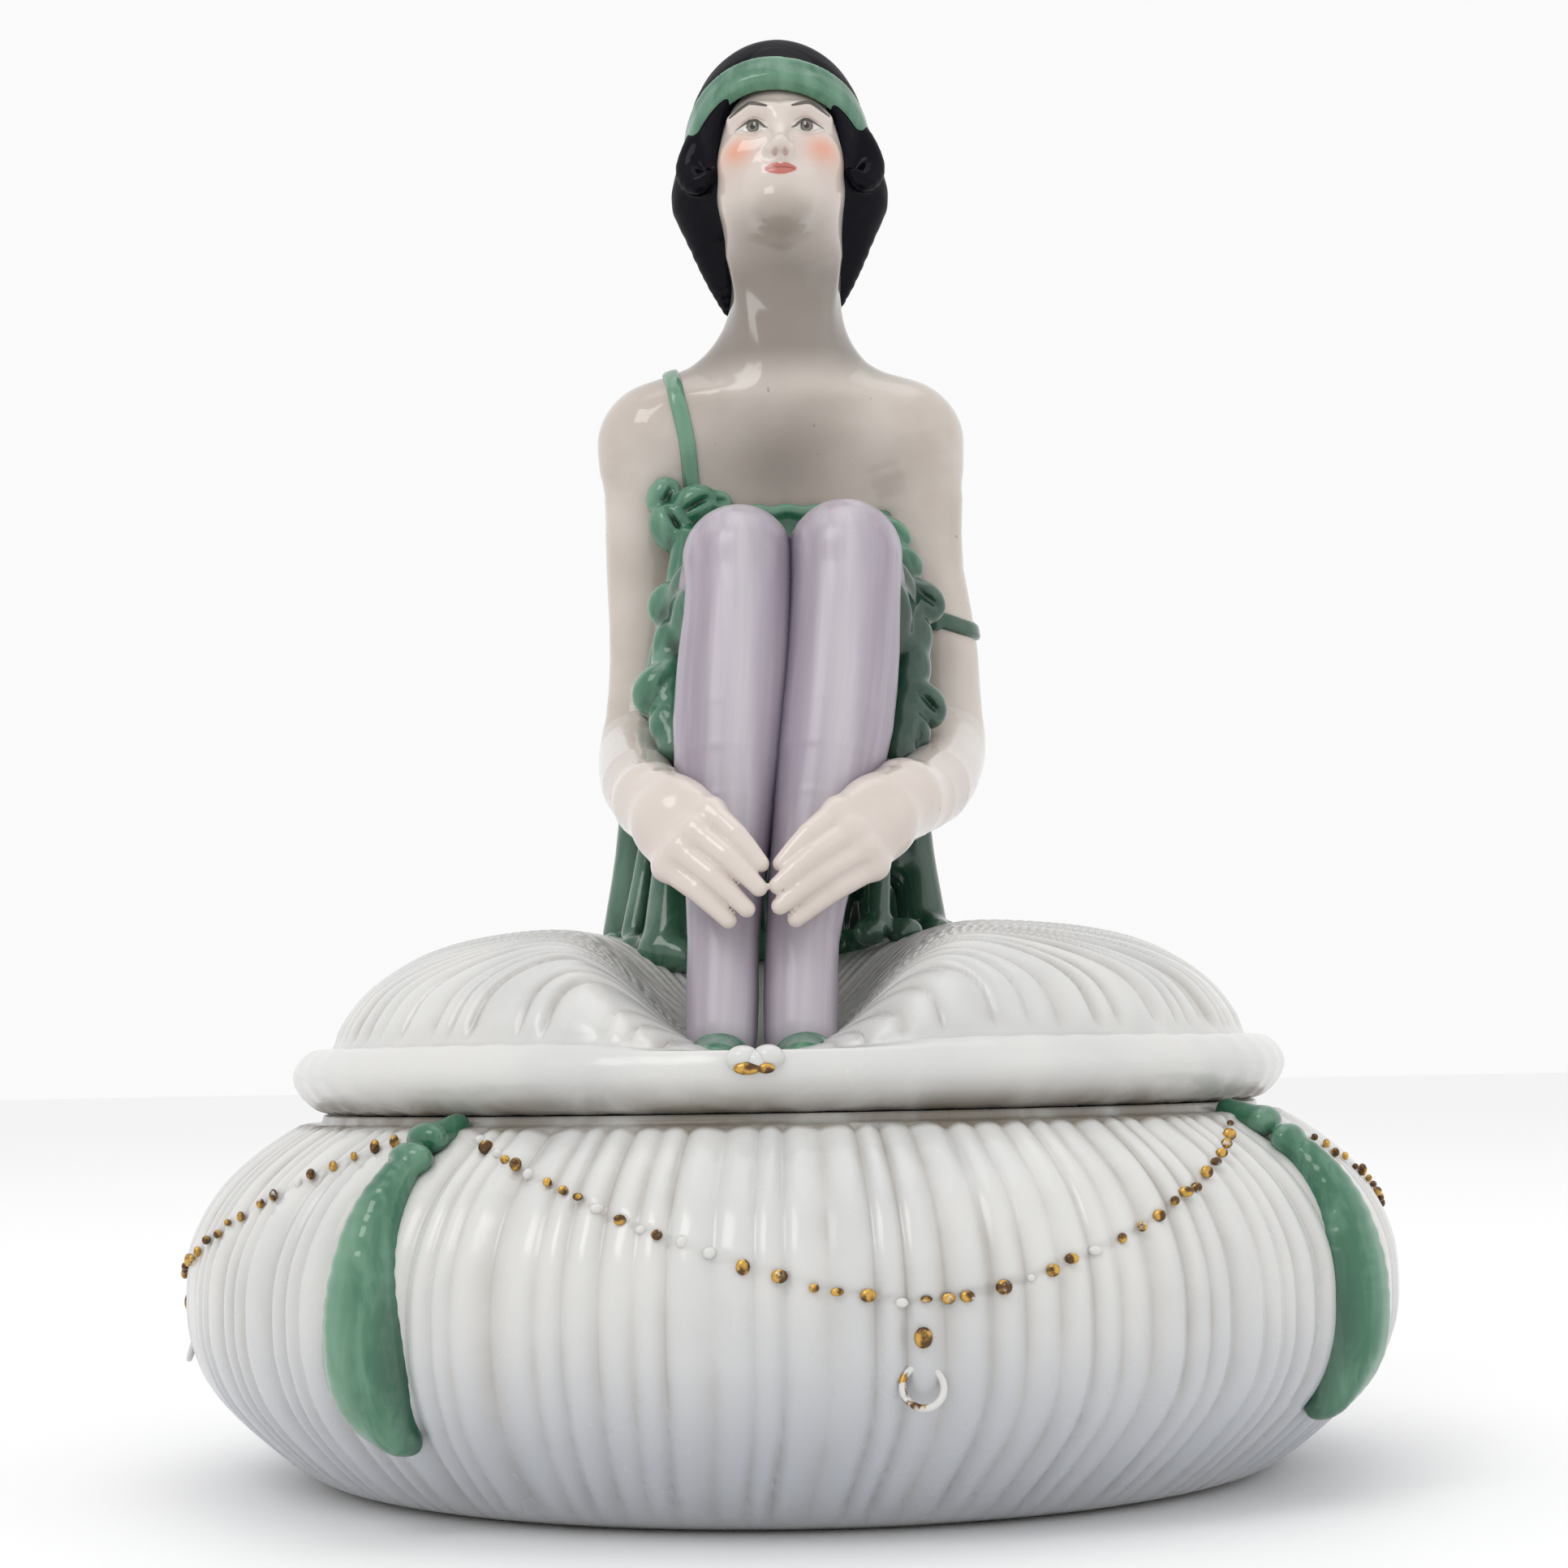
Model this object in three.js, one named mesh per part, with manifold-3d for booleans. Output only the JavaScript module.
// Porcelain powder jar: a fluted cushion-shaped bowl with applied tassels and gilt bead swags, and a
// lift-off cushion lid that carries a seated lady. Millimetres, +Z up, the lady faces -Y. The origin is
// the centre of the bowl's foot, on the surface that the jar stands on.
import * as THREE from "three";
import { mergeVertices } from "three/addons/utils/BufferGeometryUtils.js";
import Module from "manifold-3d";

const wasm = await Module();
wasm.setup();

// ---- driving dimensions ----
const BOWL_RADIUS = 65.2; // at the belly
const BELLY_HEIGHT = 19.5;
const FOOT_RADIUS = 48.5;
const COLLAR_RADIUS = 50.6; // outside of the seat ring that the lid stands on
const COLLAR_HEIGHT = 38;
const MOUTH_RADIUS = 46.8;
const FLOOR_THICKNESS = 4.8;
const SEAT_GAP = 0.1; // between the collar and the lid's unglazed seat
const FLANGE_RADIUS = 46; // the lid's locating ring, a loose fit in the mouth
const FLANGE_DEPTH = 4.6;
const ROLL_RADIUS = 3.6; // the piping round the lid's edge
const ROLL_CENTRE = 50.3;
const ROLL_HEIGHT = 42;
const LID_TOP = 57.3;
const LID_WALL = 3.2;
const PRESS_LEVEL = 44.3; // height of the cushion where the feet press it down
// Where the decoration stands round the bowl: degrees from the front, towards the lady's left.
const SIDES = ["front", "left", "back", "right"];
const SWAG_TURNS = [10, 101.7, 190, 278.3];
const SWAG_HALF_ANGLES = [43.5, 40, 40, 40];
const TASSEL_PLACES = ["front_left", "back_left", "back_right", "front_right"];
const TASSEL_TURNS = [57.4, 146, 234, 322.4];
const LUTE_GAP = 0.3; // between pieces that are luted together

const BOWL_SEGMENTS = 40;
const LID_SEGMENTS = 40;

// ---- materials ----
function glaze(color, roughness = 0.12, metalness = 0) {
  return new THREE.MeshStandardMaterial({ color, roughness, metalness });
}
const WHITE_GLAZE = glaze(0xeceae6);
const SKIN_GLAZE = glaze(0xe6dcd2);
const GREEN_GLAZE = glaze(0x4f8a69);
const LILAC_GLAZE = glaze(0xb0a4b8, 0.18);
const BLACK_GLAZE = glaze(0x15151c, 0.08);
const GILT = glaze(0xc99a3a, 0.25, 1);

// ---- solids ----
function welded(geometry) {
  geometry.deleteAttribute("normal");
  geometry.deleteAttribute("uv");
  return mergeVertices(geometry, 1e-4);
}

function manifoldOf(geometry) {
  const merged = welded(geometry);
  return new wasm.Manifold(
    new wasm.Mesh({
      numProp: 3,
      vertProperties: new Float32Array(merged.attributes.position.array),
      triVerts: new Uint32Array(merged.index.array),
    }),
  );
}

function geometryOf(solid) {
  const { numProp, numVert, vertProperties, triVerts } = solid.getMesh();
  const position = new Float32Array(numVert * 3);
  for (let i = 0; i < numVert; i++) {
    position.set(vertProperties.subarray(i * numProp, i * numProp + 3), i * 3);
  }
  const geometry = new THREE.BufferGeometry();
  geometry.setAttribute("position", new THREE.BufferAttribute(position, 3));
  geometry.setIndex(new THREE.BufferAttribute(new Uint32Array(triVerts), 1));
  geometry.computeVertexNormals();
  return geometry;
}

// A round limb that follows stations [x, y, z, half width, half depth], with a domed cap at each end.
function limb(stations, { sides = 10, steps = 8, caps = 2, cap = 1, grow = 0 } = {}) {
  const path = new THREE.CatmullRomCurve3(stations.map(([x, y, z]) => new THREE.Vector3(x, y, z)));
  const last = stations.length - 1;
  const sizeAt = (u, column) => {
    const at = Math.min(last - 1, Math.floor(u * last));
    return THREE.MathUtils.lerp(stations[at][column], stations[at + 1][column], u * last - at) + grow;
  };
  const geometry = new THREE.CapsuleGeometry(1, steps, caps, sides, steps);
  const position = geometry.attributes.position;
  const across = new THREE.Vector3();
  const point = new THREE.Vector3();
  for (let i = 0; i < position.count; i++) {
    const height = position.getY(i);
    const along = THREE.MathUtils.clamp(height, -steps / 2, steps / 2);
    const u = along / steps + 0.5;
    const tangent = path.getTangent(u);
    across.set(1, 0, 0).addScaledVector(tangent, -tangent.x).normalize();
    const depth = new THREE.Vector3().crossVectors(across, tangent);
    const wide = sizeAt(u, 3);
    const deep = sizeAt(u, 4);
    point.copy(path.getPoint(u));
    point.addScaledVector(across, position.getX(i) * wide);
    point.addScaledVector(depth, position.getZ(i) * deep);
    point.addScaledVector(tangent, (height - along) * cap * Math.min(wide, deep));
    position.setXYZ(i, point.x, point.y, point.z);
  }
  return manifoldOf(geometry);
}

// An ellipsoid, tipped about the X axis.
function egg([x, y, z], [rx, ry, rz], { tip = 0, sides = 14, rings = 9, grow = 0 } = {}) {
  const geometry = new THREE.SphereGeometry(1, sides, rings);
  geometry.rotateX(Math.PI / 2);
  geometry.scale(rx + grow, ry + grow, rz + grow);
  geometry.rotateX(THREE.MathUtils.degToRad(tip));
  geometry.translate(x, y, z);
  return manifoldOf(geometry);
}

function block([x, y, z], [wide, deep, tall], tip = 0) {
  const geometry = new THREE.BoxGeometry(wide, deep, tall);
  geometry.rotateX(THREE.MathUtils.degToRad(tip));
  geometry.translate(x, y, z);
  return manifoldOf(geometry);
}

function lathe(profile, segments) {
  const points = profile.map(([r, z]) => new THREE.Vector2(r, z));
  const geometry = new THREE.LatheGeometry(points, segments);
  geometry.rotateX(Math.PI / 2); // LatheGeometry turns about Y: this stands it on Z
  return welded(geometry);
}

function curvePoints(outline, count) {
  const curve = new THREE.SplineCurve(outline.map(([r, z]) => new THREE.Vector2(r, z)));
  return curve.getPoints(count).map(({ x, y }) => [x, y]);
}

function largestPiece(solid) {
  return solid.decompose().sort((a, b) => b.volume() - a.volume())[0];
}

function cutBack(solid, neighbours) {
  return largestPiece(neighbours.reduce((rest, neighbour) => rest.subtract(neighbour), solid));
}

// ---- bowl ----
// The outside from foot to shoulder, as radius and height.
const BOWL_OUTLINE = [
  [FOOT_RADIUS, 0],
  [56.2, 3.7],
  [62.4, 9.8],
  [BOWL_RADIUS, BELLY_HEIGHT],
  [63.3, 27.7],
  [57.6, 34.2],
  [52.4, 36.9],
];

function bowlSolid() {
  const footRecess = 1.2; // inside the foot ring
  const inside = [
    [MOUTH_RADIUS, COLLAR_HEIGHT - 3.5],
    [52.4, 32.8],
    [59.6, 27.4],
    [61.6, BELLY_HEIGHT],
    [58.6, 10.6],
    [50, 5.8],
    [40, FLOOR_THICKNESS],
  ];
  const profile = [
    [0, footRecess],
    [FOOT_RADIUS - 6.5, footRecess],
    [FOOT_RADIUS - 6, 0],
    ...curvePoints(BOWL_OUTLINE, 10),
    [COLLAR_RADIUS, 37],
    [COLLAR_RADIUS, COLLAR_HEIGHT],
    [MOUTH_RADIUS, COLLAR_HEIGHT],
    ...curvePoints(inside, 6),
    [0, FLOOR_THICKNESS],
  ];
  return manifoldOf(lathe(profile, BOWL_SEGMENTS));
}

// The bowl's outside as a solid block, larger all round by grow.
function bowlBlank(grow) {
  const outside = curvePoints(BOWL_OUTLINE, 10).map(([r, z]) => [r + grow, z]);
  return manifoldOf(lathe([[0, 0], ...outside, [0, outside.at(-1)[1]]], BOWL_SEGMENTS));
}

// A point on the bowl's outside: share is 0 at the foot and 1 at the shoulder, proud is outwards.
const bowlCurve = new THREE.SplineCurve(BOWL_OUTLINE.map(([r, z]) => new THREE.Vector2(r, z)));
function onBowl(degrees, share, proud) {
  const at = bowlCurve.getPointAt(THREE.MathUtils.clamp(share, 0, 1));
  const along = bowlCurve.getTangentAt(THREE.MathUtils.clamp(share, 0, 1));
  const radius = at.x + along.y * proud;
  const angle = THREE.MathUtils.degToRad(degrees - 90);
  return [radius * Math.cos(angle), radius * Math.sin(angle), at.y - along.x * proud];
}

// ---- applied decoration on the bowl, made at the front and turned to its place ----
// A tassel hangs from the shoulder: two knots, then a skirt that swells and closes to a tip.
function tasselSolid() {
  const stations = [
    [0.98, 2, 1.3],
    [0.89, 2.6, 1.9],
    [0.81, 2.6, 2],
    [0.68, 3.9, 2.3],
    [0.55, 4.9, 2.6],
    [0.45, 5.2, 2.6],
    [0.345, 3, 1.8],
  ].map(([share, wide, deep]) => [...onBowl(0, share, deep - 0.5), wide, deep]);
  return limb(stations, { sides: 10, steps: 9, cap: 0.9 });
}

const SWAG_LOW = 0.585; // share of the bowl's outline at the swag's lowest point
const SWAG_HIGH = 0.96;
const SWAG_RADIUS = 0.8;

// A string of beads that hangs between two tassels.
function swagSolid(halfAngle) {
  const points = [];
  const halfSteps = 8;
  for (let i = -halfSteps; i <= halfSteps; i++) {
    const u = i / halfSteps;
    const share = SWAG_LOW + (SWAG_HIGH - SWAG_LOW) * Math.abs(u) ** 1.5;
    points.push(new THREE.Vector3(...onBowl(u * halfAngle, share, SWAG_RADIUS + LUTE_GAP)));
  }
  const section = new THREE.Shape();
  section.absarc(0, 0, SWAG_RADIUS, 0, 2 * Math.PI);
  const geometry = new THREE.ExtrudeGeometry(section, {
    extrudePath: new THREE.CatmullRomCurve3(points),
    steps: 20,
    curveSegments: 3,
  });
  return manifoldOf(geometry);
}

// A gilt ball over a ring, under the lowest point of each swag.
function pendantSolid() {
  const ballAt = onBowl(0, 0.52, 1.2);
  const ringAt = onBowl(0, 0.44, 1);
  const ring = new THREE.TorusGeometry(1.9, 0.55, 5, 10);
  ring.rotateX(Math.PI / 2 + 0.27);
  ring.translate(...ringAt);
  const ball = egg(ballAt, [1, 0.9, 1], { sides: 8, rings: 5 });
  const link = limb(
    [
      [...ballAt, 0.5, 0.5],
      [...onBowl(0, 0.475, 1), 0.5, 0.5],
    ],
    { sides: 5, steps: 1, caps: 1 },
  );
  return manifoldOf(ring).add(ball).add(link);
}

// ---- lid ----
// The cushion is pressed down where the feet stand, and a little where the lady sits.
function press(x, y) {
  const aside = Math.abs(x + 2.8) / 11;
  const behind = Math.max(0, y + 36) / 13;
  return Math.exp(-0.5 * (aside ** 3 + behind ** 2));
}
function seatSink(x, y) {
  return 1.8 * Math.exp(-(x * x + y * y) / 324);
}

function lidSolid() {
  const dome = curvePoints(
    [
      [48.9, 46.4],
      [46.5, 50.4],
      [42, 54.1],
      [35, 56.8],
      [24, LID_TOP],
    ],
    9,
  );
  const roll = [];
  for (let degrees = -90; degrees <= 105; degrees += 32.5) {
    const angle = THREE.MathUtils.degToRad(degrees);
    roll.push([ROLL_CENTRE + ROLL_RADIUS * Math.cos(angle), ROLL_HEIGHT + ROLL_RADIUS * Math.sin(angle)]);
  }
  const seat = COLLAR_HEIGHT + SEAT_GAP;
  const flangeInside = FLANGE_RADIUS - 2.8;
  const underside = [
    [14, LID_TOP - LID_WALL],
    [24, LID_TOP - LID_WALL],
    [34, LID_TOP - LID_WALL - 0.4],
    [39.6, 51.4],
    [flangeInside, 47.2],
    [flangeInside, seat + 0.6],
  ];
  const profile = [
    [0, LID_TOP - LID_WALL],
    ...underside,
    [flangeInside, seat - FLANGE_DEPTH],
    [FLANGE_RADIUS, seat - FLANGE_DEPTH],
    [FLANGE_RADIUS, seat],
    [ROLL_CENTRE, seat],
    ...roll,
    ...dome,
    [12, LID_TOP],
    [0, LID_TOP],
  ];
  const inner = new Set(underside.slice(0, -1).map(([r, z]) => r.toFixed(2) + z.toFixed(2)));
  const geometry = lathe(profile, LID_SEGMENTS);
  const position = geometry.attributes.position;
  for (let i = 0; i < position.count; i++) {
    const [x, y, z] = [position.getX(i), position.getY(i), position.getZ(i)];
    const beneath = inner.has(Math.hypot(x, y).toFixed(2) + z.toFixed(2)) || z === position.getZ(0);
    if (z < 45.7) continue; // the roll, the seat and the flange keep their shape
    const crown = z + (beneath ? LID_WALL : 0);
    const drop = Math.max(0, crown - PRESS_LEVEL) * press(x, y);
    position.setZ(i, z - drop - seatSink(x, y));
  }
  return manifoldOf(geometry);
}

// ---- the lady ----
// Each shape takes grow, so that the piece can also be made larger all round by the lute gap.
const legRight = (grow) =>
  limb(
    [
      [-4.9, -17, 96.4, 5.9, 5.2],
      [-5.1, -20, 89, 5.9, 5.4],
      [-5.8, -23.5, 79, 6.2, 6],
      [-6, -28, 68, 5, 5.2],
      [-6.1, -33, 56, 3.5, 3.6],
      [-6.4, -36, 50, 3.5, 3.6],
    ],
    { steps: 7, grow },
  );

const legLeft = (grow) =>
  limb(
    [
      [7.3, -17, 96.6, 5.7, 5.2],
      [7.2, -20, 89, 5.8, 5.4],
      [6.5, -23.5, 79, 5.85, 6],
      [4.6, -28, 68, 5, 5.2],
      [2.4, -33, 56, 3.8, 3.7],
      [2.1, -36, 50, 3.8, 3.7],
    ],
    { steps: 7, grow },
  );

function slipper(x, grow) {
  const heel = [x, -34, 47.6, 2.8, 2.4];
  const toe = [x - 0.1, -42.6, 47, 2.4, 1.8];
  return limb([heel, toe], { steps: 3, grow });
}

const handRight = (grow) =>
  limb(
    [
      [-13.6, -26, 70.4, 3.4, 3],
      [-9.4, -35, 66, 4.9, 2.4],
      [-4.4, -39.6, 59.4, 3, 1.7],
    ],
    { steps: 4, grow },
  );

const handLeft = (grow) =>
  limb(
    [
      [13, -26, 69.4, 3.4, 3],
      [8.2, -35, 65.4, 4.9, 2.4],
      [2.6, -39.6, 59.4, 3, 1.7],
    ],
    { steps: 4, grow },
  );

const forearmRight = (grow) =>
  limb(
    [
      [-16.6, 0, 77.4, 3.8, 4.2],
      [-16, -11, 73.6, 3.7, 3.9],
      [-14, -22.4, 71, 3.2, 3.2],
    ],
    { steps: 4, cap: 0.8, grow },
  );

const forearmLeft = (grow) =>
  limb(
    [
      [18.4, 0, 77.4, 3.9, 4.2],
      [17.2, -11, 72.8, 3.8, 4],
      [13.4, -22.4, 70, 3.2, 3.2],
    ],
    { steps: 4, cap: 0.8, grow },
  );

const upperArmRight = (grow) =>
  limb(
    [
      [-16.6, 6, 113, 4.1, 4.8],
      [-17, 6, 104, 3.8, 4.4],
      [-16.7, 4.4, 92, 3.5, 4],
      [-16.6, 3, 82.5, 3.7, 4],
    ],
    { grow },
  );

const upperArmLeft = (grow) =>
  limb(
    [
      [16.8, 6, 113, 4.1, 4.8],
      [17.1, 6, 104, 3.8, 4.4],
      [18.4, 4.4, 92, 3.6, 4],
      [18.6, 3, 82.5, 3.8, 4],
    ],
    { grow },
  );

const HEAD_TIP = -14; // degrees, the chin is lifted
const NECKLINE = 102; // where the bodice takes over from the bare shoulders
const FAR = 60; // larger than the lady's body, for cutting blocks

const head = (grow) => egg([0.1, 4.6, 146], [8.6, 9.6, 12], { tip: HEAD_TIP, sides: 14, rings: 9, grow });

const hairCap = (grow) => {
  const crown = egg([0.1, 8.8, 148.6], [11.6, 11.2, 13.2], { tip: HEAD_TIP, sides: 14, rings: 9, grow });
  const bob = egg([0.1, 12, 141], [12.6, 8.4, 11.4], { sides: 14, rings: 8, grow });
  return crown.add(bob);
};

const hair = (grow) => hairCap(grow).subtract(block([0, -8.4 - grow, 142], [FAR, 22, 34], HEAD_TIP));

// A tilted slice of a cap that stands proud of the hair.
const HEADBAND_PROUD = 1;
const headband = (grow) =>
  hairCap(HEADBAND_PROUD + grow).intersect(block([0, 6, 153.6], [FAR, FAR, 5 + 2 * grow], -38));

const earCurl = (side, grow) => egg([side * 9.2, 0.2, 143.8], [2.4, 3, 2.6], { sides: 9, rings: 6, grow });

const neck = (grow) =>
  limb(
    [
      [0.3, 7, 118, 6.3, 6],
      [0.4, 6.4, 126, 6.1, 5.8],
      [0.3, 6.4, 136, 6, 6],
    ],
    { steps: 5, grow },
  );

const torso = (grow) =>
  limb(
    [
      [0, 8.6, 96, 13.6, 9],
      [0, 7, 106, 15.4, 9],
      [0, 6.4, 113, 14.4, 7.6],
      [0, 6.8, 117.6, 9.5, 6],
    ],
    { sides: 14, cap: 0.6, grow },
  ).subtract(block([0, 0, NECKLINE - grow - FAR / 2], [FAR, FAR, FAR]));

// ---- the dress ----
const bodice = (grow) =>
  limb(
    [
      [0, 10.4, 84, 12.8, 10],
      [0, 8.4, 95, 14, 10],
      [0, 7, 100.6, 14.4, 10.4],
    ],
    { sides: 14, steps: 4, cap: 0.2, grow },
  ).subtract(block([0, 0, NECKLINE + grow + FAR / 2], [FAR, FAR, FAR]));

const lap = (side, grow) =>
  limb(
    [
      [side * 6.8, -9.8, 92.6, 5.8, 6],
      [side * 7.8, 0, 81, 7.2, 7.6],
      [side * 8, 8, 74, 7.6, 7.6],
    ],
    { sides: 10, steps: 4, grow },
  );

const skirt = (grow) =>
  limb(
    [
      [-0.6, 4.5, 53.4, 19.2, 22],
      [-0.7, 5, 60, 18.4, 20.5],
      [-0.4, 6.6, 70, 17.2, 17.4],
      [0, 10, 85, 12.4, 10.2],
    ],
    { sides: 18, steps: 6, cap: 0.1, grow },
  );

const rosette = (grow) => egg([-11.8, -5.8, 102.6], [3.4, 3.2, 3.6], { sides: 10, rings: 7, grow });

const shoulderStrap = (grow) =>
  limb(
    [
      [-11.4, 13.6, 112, 1.2, 0.7],
      [-12.4, 7.4, 119.9, 1.2, 0.7],
      [-12, 0.4, 116, 1.2, 0.7],
      [-10.6, -3.6, 107.4, 1.2, 0.7],
    ],
    { sides: 6, steps: 6, caps: 1, grow },
  );

const fallenStrap = (grow) =>
  limb(
    [
      [15.6, -4.4, 93.4, 1, 1.1],
      [20, -2, 91.6, 0.8, 1.1],
      [22.7, 4, 90.6, 0.7, 1.1],
    ],
    { sides: 6, steps: 5, caps: 1, grow },
  );

const frill = (side, grow) =>
  limb(
    [
      [side * 12.6, -13.4, 98.4, 1.6, 2.4],
      [side * 14.2, -11.4, 91, 2.1, 3],
      [side * 14, -12.6, 84, 2.4, 3.2],
      [side * 13, -16, 77.4, 1.8, 2.2],
    ],
    { sides: 8, steps: 5, grow },
  );

const pipingKnot = (grow) => egg([-3, -53.6, 43.2], [2.4, 1.8, 1.6], { sides: 10, rings: 7, grow });

// Every piece on the lid, in the order in which each gives way to those before it.
const ON_THE_LID = [
  ["piping_knot", WHITE_GLAZE, pipingKnot],
  ["leg_right", LILAC_GLAZE, legRight],
  ["leg_left", LILAC_GLAZE, legLeft],
  ["slipper_right", GREEN_GLAZE, (grow) => slipper(-6.5, grow)],
  ["slipper_left", GREEN_GLAZE, (grow) => slipper(2, grow)],
  ["hand_right", SKIN_GLAZE, handRight],
  ["hand_left", SKIN_GLAZE, handLeft],
  ["forearm_right", SKIN_GLAZE, forearmRight],
  ["forearm_left", SKIN_GLAZE, forearmLeft],
  ["upper_arm_right", SKIN_GLAZE, upperArmRight],
  ["upper_arm_left", SKIN_GLAZE, upperArmLeft],
  ["head", SKIN_GLAZE, head],
  ["hair", BLACK_GLAZE, hair],
  ["headband", GREEN_GLAZE, headband],
  ["ear_curl_right", BLACK_GLAZE, (grow) => earCurl(-1, grow)],
  ["ear_curl_left", BLACK_GLAZE, (grow) => earCurl(1, grow)],
  ["neck", SKIN_GLAZE, neck],
  ["torso", SKIN_GLAZE, torso],
  ["bodice", GREEN_GLAZE, bodice],
  ["lap_right", GREEN_GLAZE, (grow) => lap(-1, grow)],
  ["lap_left", GREEN_GLAZE, (grow) => lap(1, grow)],
  ["skirt", GREEN_GLAZE, skirt],
  ["rosette", GREEN_GLAZE, rosette],
  ["shoulder_strap", GREEN_GLAZE, shoulderStrap],
  ["fallen_strap", GREEN_GLAZE, fallenStrap],
  ["frill_right", GREEN_GLAZE, (grow) => frill(-1, grow)],
  ["frill_left", GREEN_GLAZE, (grow) => frill(1, grow)],
];

// ---- assembly ----
const jar = new THREE.Group();

function mesh(name, solid, material) {
  const made = new THREE.Mesh(geometryOf(solid), material);
  made.name = name;
  return made;
}

// Bowl, tassels, swags and pendants.
jar.add(mesh("bowl", bowlSolid(), WHITE_GLAZE));
const bowlAndGap = bowlBlank(LUTE_GAP);
const tassel = cutBack(tasselSolid(), [bowlAndGap]);
const pendant = pendantSolid();
for (let i = 0; i < SIDES.length; i++) {
  const swagGroup = new THREE.Group();
  swagGroup.rotation.z = THREE.MathUtils.degToRad(SWAG_TURNS[i]);
  swagGroup.add(mesh("bead_swag_" + SIDES[i], swagSolid(SWAG_HALF_ANGLES[i]), GILT));
  swagGroup.add(mesh("pendant_" + SIDES[i], pendant, GILT));
  const tasselGroup = new THREE.Group();
  tasselGroup.rotation.z = THREE.MathUtils.degToRad(TASSEL_TURNS[i]);
  tasselGroup.add(mesh("tassel_" + TASSEL_PLACES[i], tassel, GREEN_GLAZE));
  jar.add(swagGroup, tasselGroup);
}

// Lid, and the lady on it.
const lid = lidSolid();
jar.add(mesh("lid", lid, WHITE_GLAZE));
const placed = [lid, lid.translate([0, 0, LUTE_GAP])];
for (const [name, material, shape] of ON_THE_LID) {
  jar.add(mesh(name, cutBack(shape(0), placed), material));
  placed.push(shape(LUTE_GAP));
}

export default jar;
